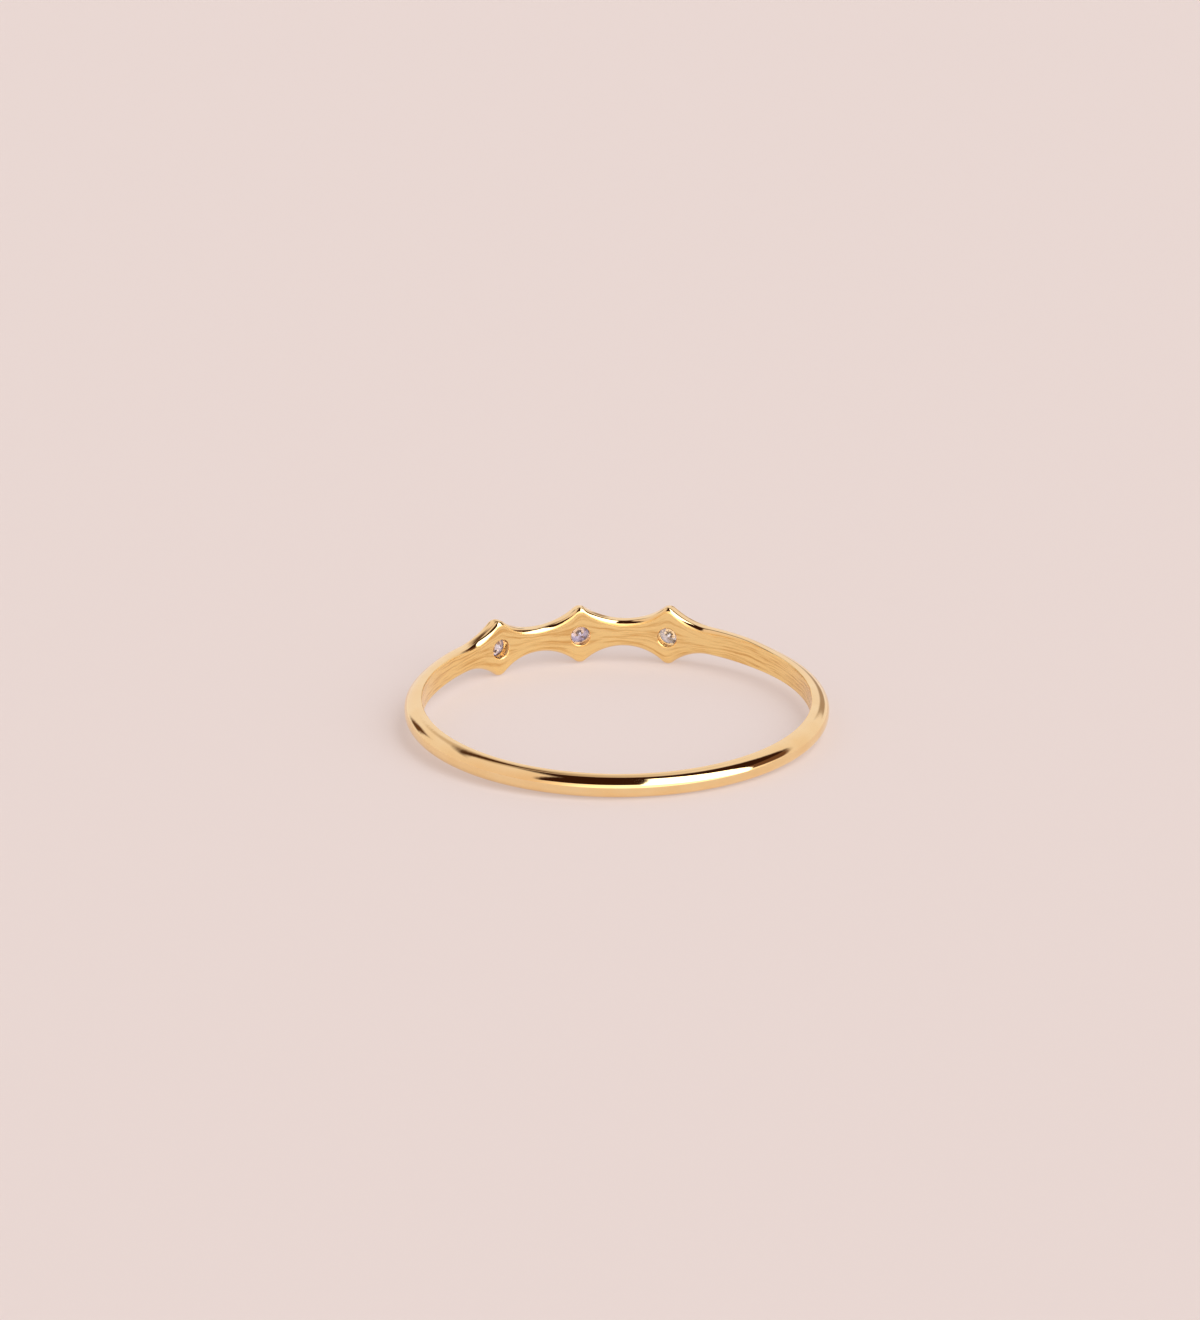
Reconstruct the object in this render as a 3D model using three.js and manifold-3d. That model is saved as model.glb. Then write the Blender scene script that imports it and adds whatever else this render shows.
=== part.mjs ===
import * as THREE from "three";
import { ConvexGeometry } from "three/addons/geometries/ConvexGeometry.js";
import { LoftGeometry } from "three/addons/geometries/LoftGeometry.js";
import { mergeVertices } from "three/addons/utils/BufferGeometryUtils.js";
import Module from "manifold-3d";

// A fine gold stacking ring with three small stones, lying on its side as it rests by itself.
// Lengths are in millimetres and angles in degrees. +Z is up, and the head faces the front, -Y.
// Left and right are as seen from the front of the head.

// Band
const BORE_RADIUS = 8.5;
const WALL = 0.78;
const SHANK_HALF_HEIGHT = 0.48;
const INNER_EDGE_RADIUS = 0.06;
const SIDE_RIM = 0.1;
const CROWN_FLAT = 0.1;

// Head: three four-pointed stations, whose hollow edges meet in the waists between them
const STATION_PITCH = 26.4;
const TIP_HALF_HEIGHT = 1.3;
const WAIST_HALF_HEIGHT = 0.56;
const TIP_RADIUS = 0.34;
const HEAD_WALL = 0.85;
const HEAD_OUTER_EDGE_RADIUS = 0.42;
const HEAD_INNER_EDGE_RADIUS = 0.25;
const HEAD_END = 32;
const SHOULDER_END = 60;

// Stones: round brilliants
const STONE_RADIUS = 0.6;
const TABLE_SHARE = 0.56;
const STAR_SHARE = 0.8;
const CROWN_ANGLE = 34;
const PAVILION_ANGLE = 41;
const LOWER_HALF_SHARE = 0.25;
const GIRDLE_HEIGHT = 0.05;
const FACET_SYMMETRY = 8;
const TABLE_BELOW_FRONT = 0.02;

// Settings
const HOLE_RADIUS = 0.425;
const SEAT_CLEARANCE = 0.025;
const LIP_OVERHANG = 0.07;
const BRIGHT_CUT_RADIUS = 0.68;
const DRILL_OVERRUN = 0.5;
const SETTING_SIDES = 24;

// Steps of the curved surfaces
const STEPS_PER_HOLLOW = 8;
const TIP_CROWDING = 1.4;
const SHANK_STEP = 5;
const CORNER_STEPS = 7;
const EDGE_STEPS = 3;

// Search for the tilt at rest
const MOST_TILT = 10;
const TILT_HALVINGS = 30;

const STATIONS = [
  { name: "stone_left", place: -1, color: 0xd9d4e6 },
  { name: "stone_center", place: 0, color: 0x9a9cc8 },
  { name: "stone_right", place: 1, color: 0xb9b4cf },
];

const { degToRad, lerp, smoothstep } = THREE.MathUtils;
const wasm = await Module();
wasm.setup();

// Half the distance from one tip to the next, along the bore's wall
const HALF_PITCH = degToRad(STATION_PITCH / 2) * BORE_RADIUS;

// A tip's round and a waist's hollow are two arcs that touch: this is the distance between their centres.
function arcCentreDistance() {
  const rise = TIP_HALF_HEIGHT - WAIST_HALF_HEIGHT;
  return (rise * rise + HALF_PITCH * HALF_PITCH) / (2 * rise);
}

// Half height of a station's edge at a distance along the bore's wall from its tip
function stationHalfHeight(along) {
  const reach = arcCentreDistance();
  const hollowRadius = reach - TIP_RADIUS;
  if (along < (TIP_RADIUS * HALF_PITCH) / reach) {
    return TIP_HALF_HEIGHT - TIP_RADIUS + Math.sqrt(TIP_RADIUS ** 2 - along ** 2);
  }
  const fromWaist = HALF_PITCH - along;
  return WAIST_HALF_HEIGHT + hollowRadius - Math.sqrt(hollowRadius ** 2 - fromWaist ** 2);
}

// Half height of the band at an angle from the middle of the head
function bandHalfHeight(angle) {
  const station = THREE.MathUtils.clamp(Math.round(angle / STATION_PITCH), -1, 1);
  const along = degToRad(Math.abs(angle - station * STATION_PITCH)) * BORE_RADIUS;
  if (along < HALF_PITCH) return stationHalfHeight(along);
  const backness = smoothstep(Math.abs(angle), 1.5 * STATION_PITCH, 180);
  return lerp(WAIST_HALF_HEIGHT, SHANK_HALF_HEIGHT, backness);
}

// Points on a quarter of an ellipse in the section plane, from one angle to the next quarter
function quarter(centre, across, up, startAngle, steps) {
  const points = [];
  for (let i = 0; i <= steps; i++) {
    const turn = degToRad(startAngle + (90 * i) / steps);
    points.push(
      new THREE.Vector2(centre.x + across * Math.cos(turn), centre.y + up * Math.sin(turn)),
    );
  }
  return points;
}

// The band's section: x is the depth from the bore's wall, y the height. The shank's outer side is half
// an ellipse, and the head's is flat between rounded edges.
function sectionOutline(angle) {
  const half = bandHalfHeight(angle);
  const shankness = smoothstep(Math.abs(angle), HEAD_END, SHOULDER_END);
  const wall = lerp(HEAD_WALL, WALL, shankness);
  const edge = lerp(HEAD_INNER_EDGE_RADIUS, INNER_EDGE_RADIUS, shankness);
  const across = lerp(HEAD_OUTER_EDGE_RADIUS, WALL - INNER_EDGE_RADIUS - SIDE_RIM, shankness);
  const up = lerp(HEAD_OUTER_EDGE_RADIUS, half - CROWN_FLAT / 2, shankness);
  return [
    ...quarter({ x: wall - across, y: up - half }, across, up, 270, CORNER_STEPS),
    ...quarter({ x: wall - across, y: half - up }, across, up, 0, CORNER_STEPS),
    ...quarter({ x: edge, y: half - edge }, edge, edge, 90, EDGE_STEPS),
    ...quarter({ x: edge, y: edge - half }, edge, edge, 180, EDGE_STEPS),
  ];
}

// A direction from the ring's axis, at an angle from the middle of the head
function outward(angle) {
  const turn = degToRad(angle);
  return new THREE.Vector3(Math.sin(turn), -Math.cos(turn), 0);
}

function sectionAt(angle) {
  const direction = outward(angle);
  return sectionOutline(angle).map((point) => {
    const place = direction.clone().multiplyScalar(BORE_RADIUS + point.x);
    place.z = point.y;
    return place;
  });
}

// Angles of the sections, once round from the waist left of the head: close together at each tip
function sectionAngles() {
  const angles = [];
  for (const { place } of STATIONS) {
    for (let i = -STEPS_PER_HOLLOW; i < STEPS_PER_HOLLOW; i++) {
      const share = Math.sign(i) * Math.abs(i / STEPS_PER_HOLLOW) ** TIP_CROWDING;
      angles.push((place + share / 2) * STATION_PITCH);
    }
  }
  const headEnd = 1.5 * STATION_PITCH;
  const shankSteps = Math.round((360 - 2 * headEnd) / SHANK_STEP);
  for (let i = 0; i <= shankSteps; i++) {
    angles.push(lerp(headEnd, 360 - headEnd, i / shankSteps));
  }
  return angles;
}

// The band without its holes. Angles past 180 degrees are measured back from the other side, and the
// sections run from right to left, so that the faces point out.
function bandGeometry() {
  const sections = sectionAngles().map((angle) => sectionAt(angle > 180 ? angle - 360 : angle));
  return new LoftGeometry(sections.reverse());
}

// A brilliant along +Z, with the middle of its girdle at the origin: table, 8 kites, 8 stars, 16 upper
// halves, 8 mains and 16 lower halves. The points between two kites or mains lie in both their planes.
function brilliantGeometry() {
  const crownSlope = Math.tan(degToRad(CROWN_ANGLE));
  const pavilionSlope = Math.tan(degToRad(PAVILION_ANGLE));
  const step = 360 / FACET_SYMMETRY;
  const between = Math.cos(degToRad(step / 2));
  const top = GIRDLE_HEIGHT / 2;
  const tableRadius = STONE_RADIUS * TABLE_SHARE;
  const starRadius = STONE_RADIUS * STAR_SHARE;
  const lowerRadius = STONE_RADIUS * LOWER_HALF_SHARE;
  const points = [new THREE.Vector3(0, 0, -top - STONE_RADIUS * pavilionSlope)];
  const add = (radius, angle, height) => {
    const turn = degToRad(angle);
    points.push(new THREE.Vector3(radius * Math.cos(turn), radius * Math.sin(turn), height));
  };
  for (let i = 0; i < FACET_SYMMETRY; i++) {
    const angle = i * step;
    add(tableRadius, angle, top + (STONE_RADIUS - tableRadius) * crownSlope);
    add(starRadius, angle + step / 2, top + (STONE_RADIUS - starRadius * between) * crownSlope);
    add(lowerRadius, angle + step / 2, -top - (STONE_RADIUS - lowerRadius * between) * pavilionSlope);
    add(STONE_RADIUS, angle, top);
    add(STONE_RADIUS, angle, -top);
    add(STONE_RADIUS, angle + step / 2, top);
    add(STONE_RADIUS, angle + step / 2, -top);
  }
  return new ConvexGeometry(points);
}

// Height of the table above the middle of the girdle
const TABLE_HEIGHT =
  GIRDLE_HEIGHT / 2 + STONE_RADIUS * (1 - TABLE_SHARE) * Math.tan(degToRad(CROWN_ANGLE));

// Distance of a stone's girdle from the ring's axis
const GIRDLE_DISTANCE = BORE_RADIUS + HEAD_WALL - TABLE_BELOW_FRONT - TABLE_HEIGHT;

// What is drilled and cut for one stone, in the stone's own frame: the hole from the bore, the seat
// under the pavilion, the groove round the girdle, the lip over it and the bright cut in front
function settingGeometry() {
  const room = SEAT_CLEARANCE;
  const girdle = STONE_RADIUS + room;
  const top = GIRDLE_HEIGHT / 2 + room;
  const front = BORE_RADIUS + HEAD_WALL - GIRDLE_DISTANCE;
  const lip = STONE_RADIUS - LIP_OVERHANG;
  const lipHeight = top + LIP_OVERHANG * Math.tan(degToRad(CROWN_ANGLE)) + room;
  const seatDepth = -top - (girdle - HOLE_RADIUS) * Math.tan(degToRad(PAVILION_ANGLE));
  const profile = [
    new THREE.Vector2(0, BORE_RADIUS - GIRDLE_DISTANCE - DRILL_OVERRUN),
    new THREE.Vector2(HOLE_RADIUS, BORE_RADIUS - GIRDLE_DISTANCE - DRILL_OVERRUN),
    new THREE.Vector2(HOLE_RADIUS, seatDepth),
    new THREE.Vector2(girdle, -top),
    new THREE.Vector2(girdle, top),
    new THREE.Vector2(lip, lipHeight),
    new THREE.Vector2(BRIGHT_CUT_RADIUS, front),
    new THREE.Vector2(BRIGHT_CUT_RADIUS, front + DRILL_OVERRUN),
    new THREE.Vector2(0, front + DRILL_OVERRUN),
  ];
  return new THREE.LatheGeometry(profile, SETTING_SIDES).rotateX(Math.PI / 2);
}

// Places a stone's or a setting's own frame at a station: its +Z points out of the head.
function placeAtStation(object, place) {
  const direction = outward(place * STATION_PITCH);
  object.position.copy(direction.clone().multiplyScalar(GIRDLE_DISTANCE));
  object.quaternion.setFromRotationMatrix(
    new THREE.Matrix4().makeBasis(
      new THREE.Vector3(0, 0, 1).cross(direction),
      new THREE.Vector3(0, 0, 1),
      direction,
    ),
  );
  object.updateMatrix();
}

function solidFrom(geometry) {
  const bare = new THREE.BufferGeometry();
  bare.setAttribute("position", geometry.getAttribute("position"));
  bare.setIndex(geometry.index);
  const merged = mergeVertices(bare, 1e-4);
  return new wasm.Manifold(
    new wasm.Mesh({
      numProp: 3,
      vertProperties: merged.attributes.position.array,
      triVerts: new Uint32Array(merged.index.array),
    }),
  );
}

function geometryFrom(solid) {
  const mesh = solid.getMesh();
  const geometry = new THREE.BufferGeometry();
  geometry.setAttribute("position", new THREE.BufferAttribute(mesh.vertProperties, 3));
  geometry.setIndex(new THREE.BufferAttribute(mesh.triVerts, 1));
  return geometry;
}

function makeBand() {
  let band = solidFrom(bandGeometry());
  for (const { place } of STATIONS) {
    const cutter = new THREE.Object3D();
    placeAtStation(cutter, place);
    band = band.subtract(solidFrom(settingGeometry().applyMatrix4(cutter.matrix)));
  }
  const gold = new THREE.MeshStandardMaterial({ color: 0xe2b25c, metalness: 1, roughness: 0.18 });
  const mesh = new THREE.Mesh(geometryFrom(band), gold);
  mesh.name = "ring_band";
  return mesh;
}

function makeStone({ name, place, color }) {
  const material = new THREE.MeshStandardMaterial({ color, metalness: 0, roughness: 0.05 });
  const mesh = new THREE.Mesh(brilliantGeometry(), material);
  mesh.name = name;
  placeAtStation(mesh, place);
  return mesh;
}

// Lowest height of a geometry's front or back half when the ring is tipped back by an angle
function lowestPoint(geometry, tilt, front) {
  const position = geometry.getAttribute("position");
  const turn = new THREE.Matrix4().makeRotationX(-degToRad(tilt));
  const point = new THREE.Vector3();
  let lowest = Infinity;
  for (let i = 0; i < position.count; i++) {
    point.fromBufferAttribute(position, i);
    if (point.y < 0 === front) lowest = Math.min(lowest, point.applyMatrix4(turn).z);
  }
  return lowest;
}

// The tilt at which the ring lies by itself: on the lower tips of its outer stations and the back of
// its shank. A larger tilt lifts the head, so halving the range finds it.
function restTilt(geometry) {
  let low = 0;
  let high = MOST_TILT;
  for (let i = 0; i < TILT_HALVINGS; i++) {
    const middle = (low + high) / 2;
    const headBelow = lowestPoint(geometry, middle, true) < lowestPoint(geometry, middle, false);
    if (headBelow) low = middle;
    else high = middle;
  }
  return low;
}

const band = makeBand();
const ring = new THREE.Group();
ring.add(band, ...STATIONS.map(makeStone));

ring.rotation.x = -degToRad(restTilt(band.geometry));
const box = new THREE.Box3().setFromObject(ring, true);
const middle = box.getCenter(new THREE.Vector3());
ring.position.set(-middle.x, -middle.y, -box.min.z);

const group = new THREE.Group();
group.add(ring);
export default group;
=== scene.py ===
import math

import bmesh
import bpy
from mathutils import Matrix, Quaternion, Vector


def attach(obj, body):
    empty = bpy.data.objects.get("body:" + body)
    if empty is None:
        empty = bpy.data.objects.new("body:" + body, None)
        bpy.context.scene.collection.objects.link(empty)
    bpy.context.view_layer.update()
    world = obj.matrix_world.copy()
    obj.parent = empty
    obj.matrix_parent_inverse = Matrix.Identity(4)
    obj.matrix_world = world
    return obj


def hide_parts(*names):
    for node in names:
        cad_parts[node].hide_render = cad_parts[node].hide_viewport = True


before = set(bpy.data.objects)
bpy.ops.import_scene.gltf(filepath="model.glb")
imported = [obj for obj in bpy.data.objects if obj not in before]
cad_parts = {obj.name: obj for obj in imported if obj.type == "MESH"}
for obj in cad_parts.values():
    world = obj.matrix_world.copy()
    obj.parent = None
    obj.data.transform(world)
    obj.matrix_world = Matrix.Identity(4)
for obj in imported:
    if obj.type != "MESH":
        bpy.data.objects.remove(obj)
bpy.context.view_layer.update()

# A fine gold stacking ring with three small stones, lying on its side on a pale surface.
# The scene is in metres. The band is shaped in millimetres and scaled at the end.
MM = 0.001

# Band, as in the part's source: millimetres and degrees
BORE_RADIUS = 8.5
WALL = 0.78
SHANK_HALF_HEIGHT = 0.48
INNER_EDGE_RADIUS = 0.06
SIDE_RIM = 0.1
CROWN_FLAT = 0.1

# Head
STATION_PITCH = 26.4
STATIONS = (-1, 0, 1)
TIP_HALF_HEIGHT = 1.3
WAIST_HALF_HEIGHT = 0.56
TIP_RADIUS = 0.34
HEAD_WALL = 0.85
HEAD_OUTER_EDGE_RADIUS = 0.42
HEAD_INNER_EDGE_RADIUS = 0.22
HEAD_END = 32
SHOULDER_END = 60
HOLLOWS_END = 1.5 * STATION_PITCH

# The upper edge stands a little higher on the left of the head: by how much, and the angles over which
# that grows and fades
UPPER_LIFT = 0.09
LIFT_GROWS = (-4, 8)
LIFT_FADES = (50, 66)

# Stones and their settings
STONE_RADIUS = 0.6
CROWN_ANGLE = 34
PAVILION_ANGLE = 41
GIRDLE_HEIGHT = 0.05
GIRDLE_DISTANCE = 9.1269
HOLE_RADIUS = 0.425
MOUTH_ROUND = 0.07
MOUTH_STEPS = 6
SEAT_CLEARANCE = 0.025
LIP_OVERHANG = 0.07
BRIGHT_CUT_RADIUS = 0.68
DRILL_OVERRUN = 0.5
SETTING_SIDES = 64

# Node, station seen from the front, finish, and its lightest and deepest tint, between which its facets'
# painted glints run
STONES = (
    ("stone_left", -1, "pale_stone", (1.0, 1.0, 1.0), (0.93, 0.90, 1.0)),
    ("stone_center", 0, "blue_stone", (0.92, 0.88, 1.0), (0.55, 0.51, 0.86)),
    ("stone_right", 1, "lilac_stone", (0.97, 0.92, 1.0), (0.66, 0.60, 0.82)),
)

# Clear stones: most of the tint is a painted glint on each facet, a random lighter or deeper tint that
# stands in for the room mirrored in it, and the rest a faint veil. The two tints stand at these values,
# and the facets' painted glints change at this distance from the middle.
STONE_INDEX = 2.1
STONE_CLEARNESS = 0.85
STONE_ROUGHNESS = 0.02
PAINTED_GLINT_SHARE = 0.7
DEEP_AND_PALE_AT = (0.15, 0.8)
FACETS_CHANGE_AT = 0.4 * STONE_RADIUS
FACETS_ROUND = 16

# How the ring lies by itself: tipped back on the tips of its outer stations
REST_TILT = -2.8455
REST_PLACE = (0, 0.05556, 0.90932)

# Fineness of the band's surface
TURNS_ROUND = 120
STEPS_PER_TURN = 8
CORNER_STEPS = 12
EDGE_STEPS = 6
WALL_STEPS = 8
FACE_STEPS = 3
TIP_CROWDING = 1.3
MERGE_DISTANCE = 1e-4
SHARP_ANGLE = 28

# Depths over which the drawn finish of the bore's wall fades out
BORE_WALL_FADE = (0.004, 0.05)

# Gold: two colours and the values that they stand at, and the range of roughness
GOLD_TONES = ((0.3, (0.98, 0.715, 0.355)), (0.72, (1.0, 0.765, 0.41)))
GOLD_ROUGHNESS = (0.03, 0.08)
DRAWN_TONES = ((0.36, (0.80, 0.48, 0.16)), (0.53, (1.0, 0.745, 0.335)))
DRAWN_ROUGHNESS = (0.16, 0.28)

# Surface under the ring: it gives off part of its brightness, which keeps its shadows soft
SURFACE_COLOUR = (0.40, 0.365, 0.355)
SURFACE_GLOW = (0.39, 0.326, 0.307)
SURFACE_REACH = 2

# Camera: the photo's angle, a long lens from 250 mm away
CAMERA_PLACE = (44.426, 231.308, 84.893)
CAMERA_AZIMUTH = 169.3
CAMERA_ELEVATION = 19.155
CAMERA_ROLL = -0.469
CAMERA_LENS = 156.07
CAMERA_SENSOR = 36
CAMERA_RANGE = (0.01, 10)

# Room: what the gold mirrors. Each edge is a plane through the ring, given by how far its inner side
# faces right, near and up, as seen along the camera's line of sight.
ROOM_TURN = math.radians(CAMERA_AZIMUTH)
ROOM_RIGHT = Vector((math.cos(ROOM_TURN), math.sin(ROOM_TURN), 0))
ROOM_NEAR = Vector((ROOM_RIGHT.y, -ROOM_RIGHT.x, 0))
FAR_WALL_COLOUR = (0.90, 0.84, 0.87)
NEAR_WALL_COLOUR = (0.80, 0.59, 0.47)

# Colour, softness and edges of what stands before the walls, each laid over the one before: a warm glow,
# then the dim and the dark parts, and last the window
ROOM_PARTS = (
    ((1.8, 1.58, 1.36), 0.4, ((1, 0.5, -0.1), (-0.3, 1, 0.1))),
    ((0.42, 0.32, 0.27), 0.05, ((1, 0, -0.6), (-0.9, -1, -1.2), (0, 1, 6), (-1, 0, 2.2))),
    ((0.62, 0.51, 0.46), 0.08, ((0, 1, 1.5), (0, -1, -0.5), (1, 0, 0.5), (-1, 0, 0.1))),
    ((0.15, 0.07, 0.04), 0.06, ((0, 1, 0.65), (0, -1, 1), (1, 0, -0.6), (-0.26, -0.1, 1))),
    ((0.035, 0.011, 0.005), 0.05, ((0, 1, 0.65), (0, -1, 1), (1, 0, 0.235), (-1, 0, 1.1))),
    ((0.035, 0.011, 0.005), 0.04, ((0, 1, 0.1), (0, -1, 1), (1, 0.72, 0.307), (-1, 0, 0.5))),
    ((0.07, 0.028, 0.012), 0.05, ((1.11, 1, 1.393), (-0.513, -1, -0.844), (-3.75, 1, 0.65))),
    (
        (0.12, 0.055, 0.025), 0.07,
        ((-0.8, 0.6, 0), (0.616, -0.788, 0), (0.1, 0.097, 1), (-0.4, -0.38, -1)),
    ),
    ((3.2, 3.15, 3.2), 0.02, ((1, -0.125, -0.15), (-0.345, 1, 0.27), (0.3, -1, 1.35), (0, 0, 1))),
)


def add_object(name, data):
    made = bpy.data.objects.new(name, data)
    bpy.context.scene.collection.objects.link(made)
    return made


def to_mesh(bm, name):
    mesh = bpy.data.meshes.new(name)
    bm.to_mesh(mesh)
    bm.free()
    return mesh


def smoothstep(value, low, high):
    share = min(max((value - low) / (high - low), 0), 1)
    return share * share * (3 - 2 * share)


def lerp(start, end, share):
    return start + (end - start) * share


# Camera

def away_from(azimuth, elevation):
    """Direction out from the ring's middle, by degrees. Azimuth 0 is in front of the head, -Y."""
    a, e = math.radians(azimuth), math.radians(elevation)
    return Vector((math.sin(a) * math.cos(e), -math.cos(a) * math.cos(e), math.sin(e)))


def make_camera():
    data = bpy.data.cameras.new("camera")
    data.lens = CAMERA_LENS
    data.sensor_width = CAMERA_SENSOR
    data.clip_start, data.clip_end = CAMERA_RANGE
    camera = add_object("camera", data)
    camera.rotation_mode = "QUATERNION"
    level = away_from(CAMERA_AZIMUTH, CAMERA_ELEVATION).to_track_quat("Z", "Y")
    camera.rotation_quaternion = level @ Quaternion((0, 0, 1), math.radians(CAMERA_ROLL))
    camera.location = Vector(CAMERA_PLACE) * MM
    bpy.context.scene.camera = camera


# Band

HALF_PITCH = math.radians(STATION_PITCH / 2) * BORE_RADIUS
TIP_RISE = TIP_HALF_HEIGHT - WAIST_HALF_HEIGHT
ARC_CENTRE_DISTANCE = (TIP_RISE ** 2 + HALF_PITCH ** 2) / (2 * TIP_RISE)
HOLLOW_RADIUS = ARC_CENTRE_DISTANCE - TIP_RADIUS


def nearest_station(angle):
    """The station of the head, -1, 0 or 1, that stands nearest to an angle."""
    return min(max(round(angle / STATION_PITCH), STATIONS[0]), STATIONS[-1])


def band_half_height(angle):
    """Half height of the band at an angle from the middle of the head."""
    station = nearest_station(angle)
    along = math.radians(abs(angle - station * STATION_PITCH)) * BORE_RADIUS
    if along < TIP_RADIUS * HALF_PITCH / ARC_CENTRE_DISTANCE:
        return TIP_HALF_HEIGHT - TIP_RADIUS + math.sqrt(TIP_RADIUS ** 2 - along ** 2)
    if along < HALF_PITCH:
        from_waist = HALF_PITCH - along
        return WAIST_HALF_HEIGHT + HOLLOW_RADIUS - math.sqrt(HOLLOW_RADIUS ** 2 - from_waist ** 2)
    backness = smoothstep(abs(angle), HOLLOWS_END, 180)
    return lerp(WAIST_HALF_HEIGHT, SHANK_HALF_HEIGHT, backness)


def upper_lift(angle):
    """How far the upper edge stands above an even band, on the left of the head and its shoulder."""
    return UPPER_LIFT * smoothstep(-angle, *LIFT_GROWS) * (1 - smoothstep(-angle, *LIFT_FADES))


def quarter(centre, across, up, start_angle, steps):
    """Points on a quarter of an ellipse, without its last one."""
    turns = [math.radians(start_angle + 90 * i / steps) for i in range(steps)]
    return [(centre[0] + across * math.cos(t), centre[1] + up * math.sin(t)) for t in turns]


def straight(start, end, steps):
    """Points on a straight line, without its last one."""
    shares = [i / steps for i in range(steps)]
    return [(lerp(start[0], end[0], s), lerp(start[1], end[1], s)) for s in shares]


def section_outline(angle):
    """The band's section: depth from the bore's wall and height. It starts at the outer side's foot."""
    half = band_half_height(angle)
    shankness = smoothstep(abs(angle), HEAD_END, SHOULDER_END)
    wall = lerp(HEAD_WALL, WALL, shankness)
    edge = lerp(HEAD_INNER_EDGE_RADIUS, INNER_EDGE_RADIUS, shankness)
    across = lerp(HEAD_OUTER_EDGE_RADIUS, WALL - INNER_EDGE_RADIUS - SIDE_RIM, shankness)
    up = lerp(HEAD_OUTER_EDGE_RADIUS, half - CROWN_FLAT / 2, shankness)
    return [
        *quarter((wall - across, up - half), across, up, 270, CORNER_STEPS),
        *straight((wall, up - half), (wall, half - up), WALL_STEPS),
        *quarter((wall - across, half - up), across, up, 0, CORNER_STEPS),
        *straight((wall - across, half), (edge, half), FACE_STEPS),
        *quarter((edge, half - edge), edge, edge, 90, EDGE_STEPS),
        *straight((0, half - edge), (0, edge - half), WALL_STEPS),
        *quarter((edge, edge - half), edge, edge, 180, EDGE_STEPS),
        *straight((edge, -half), (wall - across, -half), FACE_STEPS),
    ]


SECTION_POINTS = 2 * (CORNER_STEPS + EDGE_STEPS + WALL_STEPS + FACE_STEPS)

# Points from the start of the outline to the middle of the outer side, where the torus starts
OUTER_MIDDLE = CORNER_STEPS + WALL_STEPS // 2


def crowded(angle):
    """Moves an angle towards the tip of its station, where the edge bends most."""
    if abs(angle) >= HOLLOWS_END:
        return angle
    station = nearest_station(angle)
    share = (angle - station * STATION_PITCH) / (STATION_PITCH / 2)
    bent = math.copysign(abs(share) ** TIP_CROWDING, share)
    return (station + bent / 2) * STATION_PITCH


def runs_round(edge):
    """True for an edge of the torus that goes round the ring's axis, from one section to the next."""
    start, end = (Vector((vert.co.xy.length, vert.co.z)) for vert in edge.verts)
    return (start - end).length < MERGE_DISTANCE


def band_blank():
    """The band before drilling: a plain round torus, whose points then move to the band's sections."""
    bm = bmesh.new()
    stand = Matrix.Translation((BORE_RADIUS, 0, 0)) @ Matrix.Rotation(math.pi / 2, 4, "X")
    bmesh.ops.create_circle(bm, cap_ends=False, radius=1, segments=SECTION_POINTS, matrix=stand)
    bmesh.ops.spin(
        bm, geom=bm.verts[:] + bm.edges[:], cent=(0, 0, 0), axis=(0, 0, 1),
        angle=2 * math.pi, steps=TURNS_ROUND, use_merge=True,
    )
    bmesh.ops.remove_doubles(bm, verts=bm.verts, dist=MERGE_DISTANCE)
    lengthwise = [e for e in bm.edges if runs_round(e)]
    bmesh.ops.subdivide_edges(bm, edges=lengthwise, cuts=STEPS_PER_TURN - 1, use_grid_fill=True)
    steps_round = TURNS_ROUND * STEPS_PER_TURN
    sections = {}
    for vert in bm.verts:
        x, y, z = vert.co
        turn = math.degrees(math.atan2(x, -y))
        step = round(turn * steps_round / 360)
        point = round(math.atan2(z, math.hypot(x, y) - BORE_RADIUS) * SECTION_POINTS / (2 * math.pi))
        if step not in sections:
            angle = crowded(step * 360 / steps_round)
            stretch = 1 + upper_lift(angle) / band_half_height(angle)
            sections[step] = (away_from(angle, 0), section_outline(angle), stretch)
        outward, outline, stretch = sections[step]
        depth, height = outline[(point + OUTER_MIDDLE) % SECTION_POINTS]
        if height > 0:
            height *= stretch
        vert.co = outward * (BORE_RADIUS + depth) + Vector((0, 0, height))
    bmesh.ops.recalc_face_normals(bm, faces=bm.faces)
    return to_mesh(bm, "band_blank")


def station_place(station):
    """Where a stone's own frame stands in the ring: its Z points out of the head."""
    outward = away_from(station * STATION_PITCH, 0)
    up = Vector((0, 0, 1))
    turn = Matrix((up.cross(outward), up, outward)).transposed().to_4x4()
    return Matrix.Translation(outward * GIRDLE_DISTANCE) @ turn


def lying_ring():
    """From the ring's own frame, with its axis up, to how it lies."""
    return Matrix.Translation(REST_PLACE) @ Matrix.Rotation(math.radians(REST_TILT), 4, "X")


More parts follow.
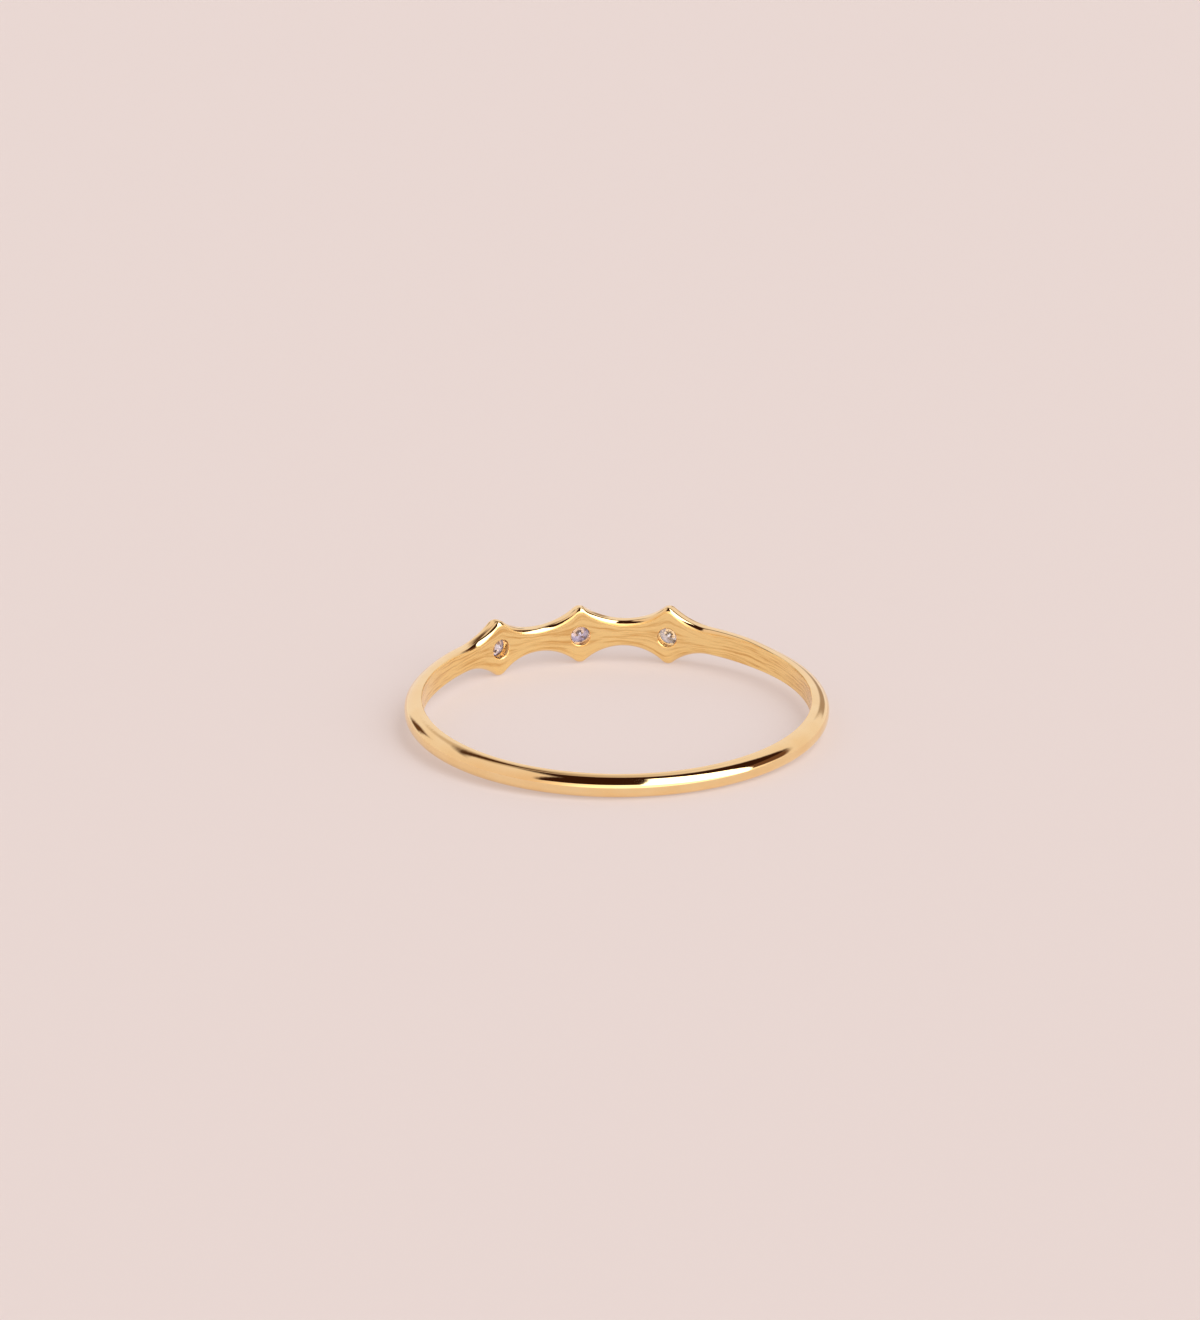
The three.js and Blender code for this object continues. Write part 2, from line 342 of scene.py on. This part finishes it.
def setting_profile():
    """Radius and height of what is drilled and cut for one stone, from the bore outwards."""
    girdle = STONE_RADIUS + SEAT_CLEARANCE
    top = GIRDLE_HEIGHT / 2 + SEAT_CLEARANCE
    bore = BORE_RADIUS - GIRDLE_DISTANCE
    front = BORE_RADIUS + HEAD_WALL - GIRDLE_DISTANCE
    lip = STONE_RADIUS - LIP_OVERHANG
    lip_height = top + LIP_OVERHANG * math.tan(math.radians(CROWN_ANGLE)) + SEAT_CLEARANCE
    seat = -top - (girdle - HOLE_RADIUS) * math.tan(math.radians(PAVILION_ANGLE))
    turns = [math.radians(90 * i / MOUTH_STEPS) for i in range(MOUTH_STEPS + 1)]
    mouth = [
        (HOLE_RADIUS + MOUTH_ROUND * (1 - math.sin(t)), bore + MOUTH_ROUND * (1 - math.cos(t)))
        for t in turns
    ]
    flare = HOLE_RADIUS + 2 * MOUTH_ROUND
    return [
        (0, bore - DRILL_OVERRUN),
        (flare, bore - DRILL_OVERRUN),
        (flare, bore - MOUTH_ROUND / 3),
        *mouth,
        (HOLE_RADIUS, seat),
        (girdle, -top),
        (girdle, top),
        (lip, lip_height),
        (BRIGHT_CUT_RADIUS, front),
        (BRIGHT_CUT_RADIUS, front + DRILL_OVERRUN),
        (0, front + DRILL_OVERRUN),
    ]


def setting_cutters():
    """The three settings as turned solids, each in its place in the head."""
    bm = bmesh.new()
    for station in STATIONS:
        profile = [bm.verts.new((radius, 0, height)) for radius, height in setting_profile()]
        edges = [bm.edges.new(pair) for pair in zip(profile, profile[1:])]
        bmesh.ops.spin(
            bm, geom=profile + edges, cent=(0, 0, 0), axis=(0, 0, 1),
            angle=2 * math.pi, steps=SETTING_SIDES, use_merge=True,
        )
        made = [v for v in bm.verts if not v.tag]
        bmesh.ops.transform(bm, matrix=station_place(station), verts=made)
        for vert in made:
            vert.tag = True
    bmesh.ops.remove_doubles(bm, verts=bm.verts, dist=MERGE_DISTANCE)
    bmesh.ops.recalc_face_normals(bm, faces=bm.faces)
    return to_mesh(bm, "setting_cutters")


def close_slivers(mesh):
    """Merges the few points that drilling leaves next to each other, so that no face is without area."""
    bm = bmesh.new()
    bm.from_mesh(mesh)
    bmesh.ops.remove_doubles(bm, verts=bm.verts, dist=MERGE_DISTANCE)
    bmesh.ops.dissolve_degenerate(bm, dist=MERGE_DISTANCE, edges=bm.edges)
    bm.to_mesh(mesh)
    bm.free()


def mark_height_share(mesh):
    """The share of the band's half height at which each point stands."""
    mark = mesh.attributes.new("height_share", "FLOAT", "POINT")
    for vert in mesh.vertices:
        angle = math.degrees(math.atan2(vert.co.x, -vert.co.y))
        mark.data[vert.index].value = vert.co.z / band_half_height(angle)


def mark_bore_wall(mesh):
    """1 on the bore's wall, fading to 0 over the rounded edges."""
    mark = mesh.attributes.new("bore_wall", "FLOAT", "POINT")
    for vert in mesh.vertices:
        depth = math.hypot(vert.co.x, vert.co.y) - BORE_RADIUS
        mark.data[vert.index].value = 1 - smoothstep(depth, *BORE_WALL_FADE)


def make_band():
    """The band, drilled for its stones and laid on its side."""
    blank = add_object("band_blank", band_blank())
    cutters = add_object("setting_cutters", setting_cutters())
    cut = blank.modifiers.new("settings", "BOOLEAN")
    cut.operation = "DIFFERENCE"
    cut.solver = "EXACT"
    cut.object = cutters
    mesh = bpy.data.meshes.new_from_object(blank.evaluated_get(bpy.context.evaluated_depsgraph_get()))
    mesh.name = "band"
    for used in (blank, cutters):
        bpy.data.meshes.remove(used.data)
    close_slivers(mesh)
    mark_height_share(mesh)
    mark_bore_wall(mesh)
    mesh.shade_smooth()
    mesh.set_sharp_from_angle(angle=math.radians(SHARP_ANGLE))
    mesh.transform(Matrix.Scale(MM, 4) @ lying_ring())
    band = add_object("band", mesh)
    weighted = band.modifiers.new("even_shading", "WEIGHTED_NORMAL")
    weighted.keep_sharp = True
    return band


# Finishes

def add_node(tree, kind, **settings):
    """A new node. Settings that start with in_ are the values of its inputs, with _ for a space."""
    node = tree.nodes.new(kind)
    for name, value in settings.items():
        if name.startswith("in_"):
            node.inputs[name[3:].replace("_", " ")].default_value = value
        else:
            setattr(node, name, value)
    return node


def feed(tree, socket, value):
    """Gives an input a value of its own, or links it to an output."""
    if isinstance(value, bpy.types.NodeSocket):
        tree.links.new(value, socket)
    else:
        socket.default_value = value


def maths(tree, operation, *values):
    node = add_node(tree, "ShaderNodeMath", operation=operation)
    for socket, value in zip(node.inputs, values):
        feed(tree, socket, value)
    return node.outputs["Value"]


def vector_of(tree, **parts):
    """A vector of the given parts, X, Y or Z."""
    node = add_node(tree, "ShaderNodeCombineXYZ")
    for axis, value in parts.items():
        feed(tree, node.inputs[axis], value)
    return node.outputs["Vector"]


def parts_of(tree, vector):
    node = add_node(tree, "ShaderNodeSeparateXYZ")
    feed(tree, node.inputs["Vector"], vector)
    return node.outputs


def noise(tree, place, **settings):
    node = add_node(tree, "ShaderNodeTexNoise", **settings)
    feed(tree, node.inputs["Vector"], place)
    return node.outputs["Fac"]


def spread(tree, value, low, high):
    """A value from 0 to 1, spread from low to high."""
    node = add_node(tree, "ShaderNodeMapRange", in_To_Min=low, in_To_Max=high)
    feed(tree, node.inputs["Value"], value)
    return node.outputs["Result"]


def blend_of(tree, value, stops):
    """A blend of two colours. Each stop is the value that a colour stands at, and the colour."""
    node = add_node(tree, "ShaderNodeValToRGB")
    for element, (position, colour) in zip(node.color_ramp.elements, stops):
        element.position = position
        element.color = (*colour, 1)
    feed(tree, node.inputs["Fac"], value)
    return node.outputs["Color"]


# Places of the two inputs and the output of a mix node, for each kind of value
MIX_SOCKETS = {"FLOAT": (2, 3, 0), "RGBA": (6, 7, 2)}


def mix(tree, kind, share, first, second):
    """The first value where the share is 0, and the second where it is 1."""
    first_input, second_input, output = MIX_SOCKETS[kind]
    node = add_node(tree, "ShaderNodeMix", data_type=kind)
    feed(tree, node.inputs["Factor"], share)
    feed(tree, node.inputs[first_input], first)
    feed(tree, node.inputs[second_input], second)
    return node.outputs[output]


def bump(tree, height, **settings):
    node = add_node(tree, "ShaderNodeBump", **settings)
    feed(tree, node.inputs["Height"], height)
    return node


def new_group(name, inputs, output):
    """A shader node group that reads a place and numbers, given as (name, default), and puts out one."""
    group = bpy.data.node_groups.new(name, "ShaderNodeTree")
    group.interface.new_socket("Vector", in_out="INPUT", socket_type="NodeSocketVector")
    for label, value in inputs:
        socket = group.interface.new_socket(label, in_out="INPUT", socket_type="NodeSocketFloat")
        socket.default_value = value
    group.interface.new_socket(output, in_out="OUTPUT", socket_type="NodeSocketFloat")
    given = group.nodes.new("NodeGroupInput").outputs
    return group, given, group.nodes.new("NodeGroupOutput").inputs[output]


def drawn_streaks():
    """Fine wavy lines that run round a band, from its place and its share of the band's half height."""
    group, given, result = new_group(
        "drawn_streaks",
        [("Share", 0.0), ("Along", 0.5), ("Across", 6.5), ("Waviness", 0.5)],
        "Streak",
    )
    axes = parts_of(group, given["Vector"])
    wave = maths(group, "SUBTRACT", noise(group, given["Vector"], in_Scale=0.55, in_Detail=2.0), 0.5)
    sway = maths(group, "MULTIPLY", wave, given["Waviness"])
    height = maths(group, "ADD", given["Share"], sway)
    run = add_node(group, "ShaderNodeVectorMath", operation="SCALE")
    feed(group, run.inputs["Vector"], vector_of(group, X=axes["X"], Y=axes["Y"]))
    feed(group, run.inputs["Scale"], given["Along"])
    rise = vector_of(group, Z=maths(group, "MULTIPLY", height, given["Across"]))
    place = add_node(group, "ShaderNodeVectorMath", operation="ADD")
    feed(group, place.inputs[0], run.outputs["Vector"])
    feed(group, place.inputs[1], rise)
    lines = noise(group, place.outputs["Vector"], in_Scale=1.0, in_Detail=4.0, in_Roughness=0.62)
    feed(group, result, lines)
    return group


def new_material(name):
    material = bpy.data.materials.new(name)
    material.use_nodes = True
    return material, material.node_tree, material.node_tree.nodes["Principled BSDF"].inputs


def gold_material(streaks):
    """Polished yellow gold: a mirror outside, and a bore wall with fine drawn lines."""
    material, tree, shader = new_material("polished_gold")
    shader["Metallic"].default_value = 1.0
    coordinates = add_node(tree, "ShaderNodeTexCoord")
    millimetres = add_node(tree, "ShaderNodeMapping", in_Scale=(1 / MM, 1 / MM, 1 / MM))
    feed(tree, millimetres.inputs["Vector"], coordinates.outputs["Object"])
    place = millimetres.outputs["Vector"]

    share = add_node(tree, "ShaderNodeAttribute", attribute_name="height_share").outputs["Fac"]
    wall = add_node(tree, "ShaderNodeAttribute", attribute_name="bore_wall").outputs["Fac"]
    lines = add_node(tree, "ShaderNodeGroup", node_tree=streaks)
    feed(tree, lines.inputs["Vector"], place)
    feed(tree, lines.inputs["Share"], share)
    feed(tree, lines.inputs["Along"], 0.5)
    feed(tree, lines.inputs["Across"], 6.5)
    feed(tree, lines.inputs["Waviness"], 0.5)
    streak = lines.outputs["Streak"]
    cloudy = noise(tree, place, in_Scale=0.9, in_Detail=3.0)

    tone = blend_of(tree, cloudy, GOLD_TONES)
    drawn_tone = blend_of(tree, streak, DRAWN_TONES)
    feed(tree, shader["Base Color"], mix(tree, "RGBA", wall, tone, drawn_tone))

    roughness = spread(tree, cloudy, *GOLD_ROUGHNESS)
    drawn_roughness = spread(tree, streak, *DRAWN_ROUGHNESS)
    feed(tree, shader["Roughness"], mix(tree, "FLOAT", wall, roughness, drawn_roughness))

    ripple = bump(tree, cloudy, in_Strength=0.25, in_Distance=0.02 * MM)
    groove = bump(tree, maths(tree, "MULTIPLY", streak, wall), in_Strength=0.5, in_Distance=0.03 * MM)
    feed(tree, groove.inputs["Normal"], ripple.outputs["Normal"])
    feed(tree, shader["Normal"], groove.outputs["Normal"])
    return material


def painted_facet_glints():
    """A painted glint for each facet of a brilliant whose own frame has its table up, in millimetres: a
    random lighter or deeper tint that stands in for the room mirrored in that facet.
    """
    group, given, result = new_group("painted_facet_glints", [("Seed", 0.0)], "Glint")
    axes = parts_of(group, given["Vector"])
    turn = maths(group, "ARCTAN2", axes["Y"], axes["X"])
    facet = maths(group, "FLOOR", maths(group, "MULTIPLY", turn, FACETS_ROUND / (2 * math.pi)))
    reach = add_node(group, "ShaderNodeVectorMath", operation="LENGTH")
    feed(group, reach.inputs[0], vector_of(group, X=axes["X"], Y=axes["Y"]))
    outer = maths(group, "GREATER_THAN", reach.outputs["Value"], FACETS_CHANGE_AT)
    tone = add_node(group, "ShaderNodeTexWhiteNoise", noise_dimensions="3D")
    feed(group, tone.inputs["Vector"], vector_of(group, X=facet, Y=outer, Z=given["Seed"]))
    feed(group, result, tone.outputs["Value"])
    return group


def stone_material(name, facets, station, pale, deep):
    """A clear cut stone, whose facets are each painted a little lighter or deeper, as painted glints
    that stand in for the room mirrored in them.
    """
    material, tree, shader = new_material(name)
    shader["Roughness"].default_value = STONE_ROUGHNESS
    shader["IOR"].default_value = STONE_INDEX
    shader["Transmission Weight"].default_value = STONE_CLEARNESS
    coordinates = add_node(tree, "ShaderNodeTexCoord")
    stone = lying_ring() @ station_place(station)
    own = add_node(
        tree, "ShaderNodeMapping", vector_type="TEXTURE",
        in_Location=stone.translation * MM, in_Rotation=stone.to_euler(), in_Scale=(MM, MM, MM),
    )
    feed(tree, own.inputs["Vector"], coordinates.outputs["Object"])
    place = own.outputs["Vector"]
    # Painted glints: each facet gets a random lighter or deeper tint that stands in for the room
    # mirrored in it, over a faint veil
    glint_tones = add_node(tree, "ShaderNodeGroup", node_tree=facets, in_Seed=station)
    feed(tree, glint_tones.inputs["Vector"], place)
    veil = maths(tree, "MULTIPLY", noise(tree, place, in_Scale=3.0, in_Detail=2.0), 1 - PAINTED_GLINT_SHARE)
    depth = maths(tree, "MULTIPLY_ADD", glint_tones.outputs["Glint"], PAINTED_GLINT_SHARE, veil)
    feed(tree, shader["Base Color"], blend_of(tree, depth, zip(DEEP_AND_PALE_AT, (deep, pale))))
    return material


def surface_material():
    """The plain pale surface, which gives off a soft glow of its own."""
    material, _, shader = new_material("pale_surface")
    shader["Base Color"].default_value = (*SURFACE_COLOUR, 1)
    shader["Roughness"].default_value = 0.9
    shader["Specular IOR Level"].default_value = 0.15
    shader["Emission Color"].default_value = (*SURFACE_GLOW, 1)
    shader["Emission Strength"].default_value = 1.0
    return material


def finish_node(name, material):
    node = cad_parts[name]
    node.data.materials.clear()
    node.data.materials.append(material)


# Studio

def make_surface():
    bm = bmesh.new()
    bmesh.ops.create_grid(bm, x_segments=1, y_segments=1, size=SURFACE_REACH)
    surface = add_object("surface", to_mesh(bm, "surface"))
    surface.data.materials.append(surface_material())


def facing(tree, direction, normal):
    """How far a direction points along a normal, from -1 to 1."""
    node = add_node(tree, "ShaderNodeVectorMath", operation="DOT_PRODUCT")
    feed(tree, node.inputs[0], direction)
    feed(tree, node.inputs[1], normal)
    return node.outputs["Value"]


def inside_edges(tree, direction, edges, softness):
    """A mask that is 1 where a direction is on the inner side of every edge, each (right, near, up)."""
    mask = None
    for right, near, up in edges:
        normal = (ROOM_RIGHT * right + ROOM_NEAR * near + Vector((0, 0, up))).normalized()
        fade = add_node(
            tree, "ShaderNodeMapRange", interpolation_type="SMOOTHSTEP",
            in_From_Min=-softness, in_From_Max=softness,
        )
        feed(tree, fade.inputs["Value"], facing(tree, direction, normal))
        inner = fade.outputs["Result"]
        mask = inner if mask is None else maths(tree, "MULTIPLY", mask, inner)
    return mask


def make_room():
    """Soft light from the room: pale walls, dim and dark parts before them and one large window."""
    world = bpy.data.worlds.new("room")
    bpy.context.scene.world = world
    world.use_nodes = True
    tree = world.node_tree
    direction = add_node(tree, "ShaderNodeTexCoord").outputs["Generated"]
    share = add_node(tree, "ShaderNodeMapRange", in_From_Min=-1)
    feed(tree, share.inputs["Value"], facing(tree, direction, ROOM_NEAR))
    colour = blend_of(tree, share.outputs["Result"], ((0, FAR_WALL_COLOUR), (1, NEAR_WALL_COLOUR)))
    for paint, softness, edges in ROOM_PARTS:
        mask = inside_edges(tree, direction, edges, softness)
        colour = mix(tree, "RGBA", mask, colour, (*paint, 1))
    feed(tree, tree.nodes["Background"].inputs["Color"], colour)


make_camera()

band = make_band()
band.data.materials.append(gold_material(drawn_streaks()))
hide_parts("ring_band")
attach(band, "root")

facets = painted_facet_glints()
for name, station, finish, pale, deep in STONES:
    finish_node(name, stone_material(finish, facets, station, pale, deep))

make_surface()
make_room()

bpy.context.scene.view_settings.view_transform = "Standard"
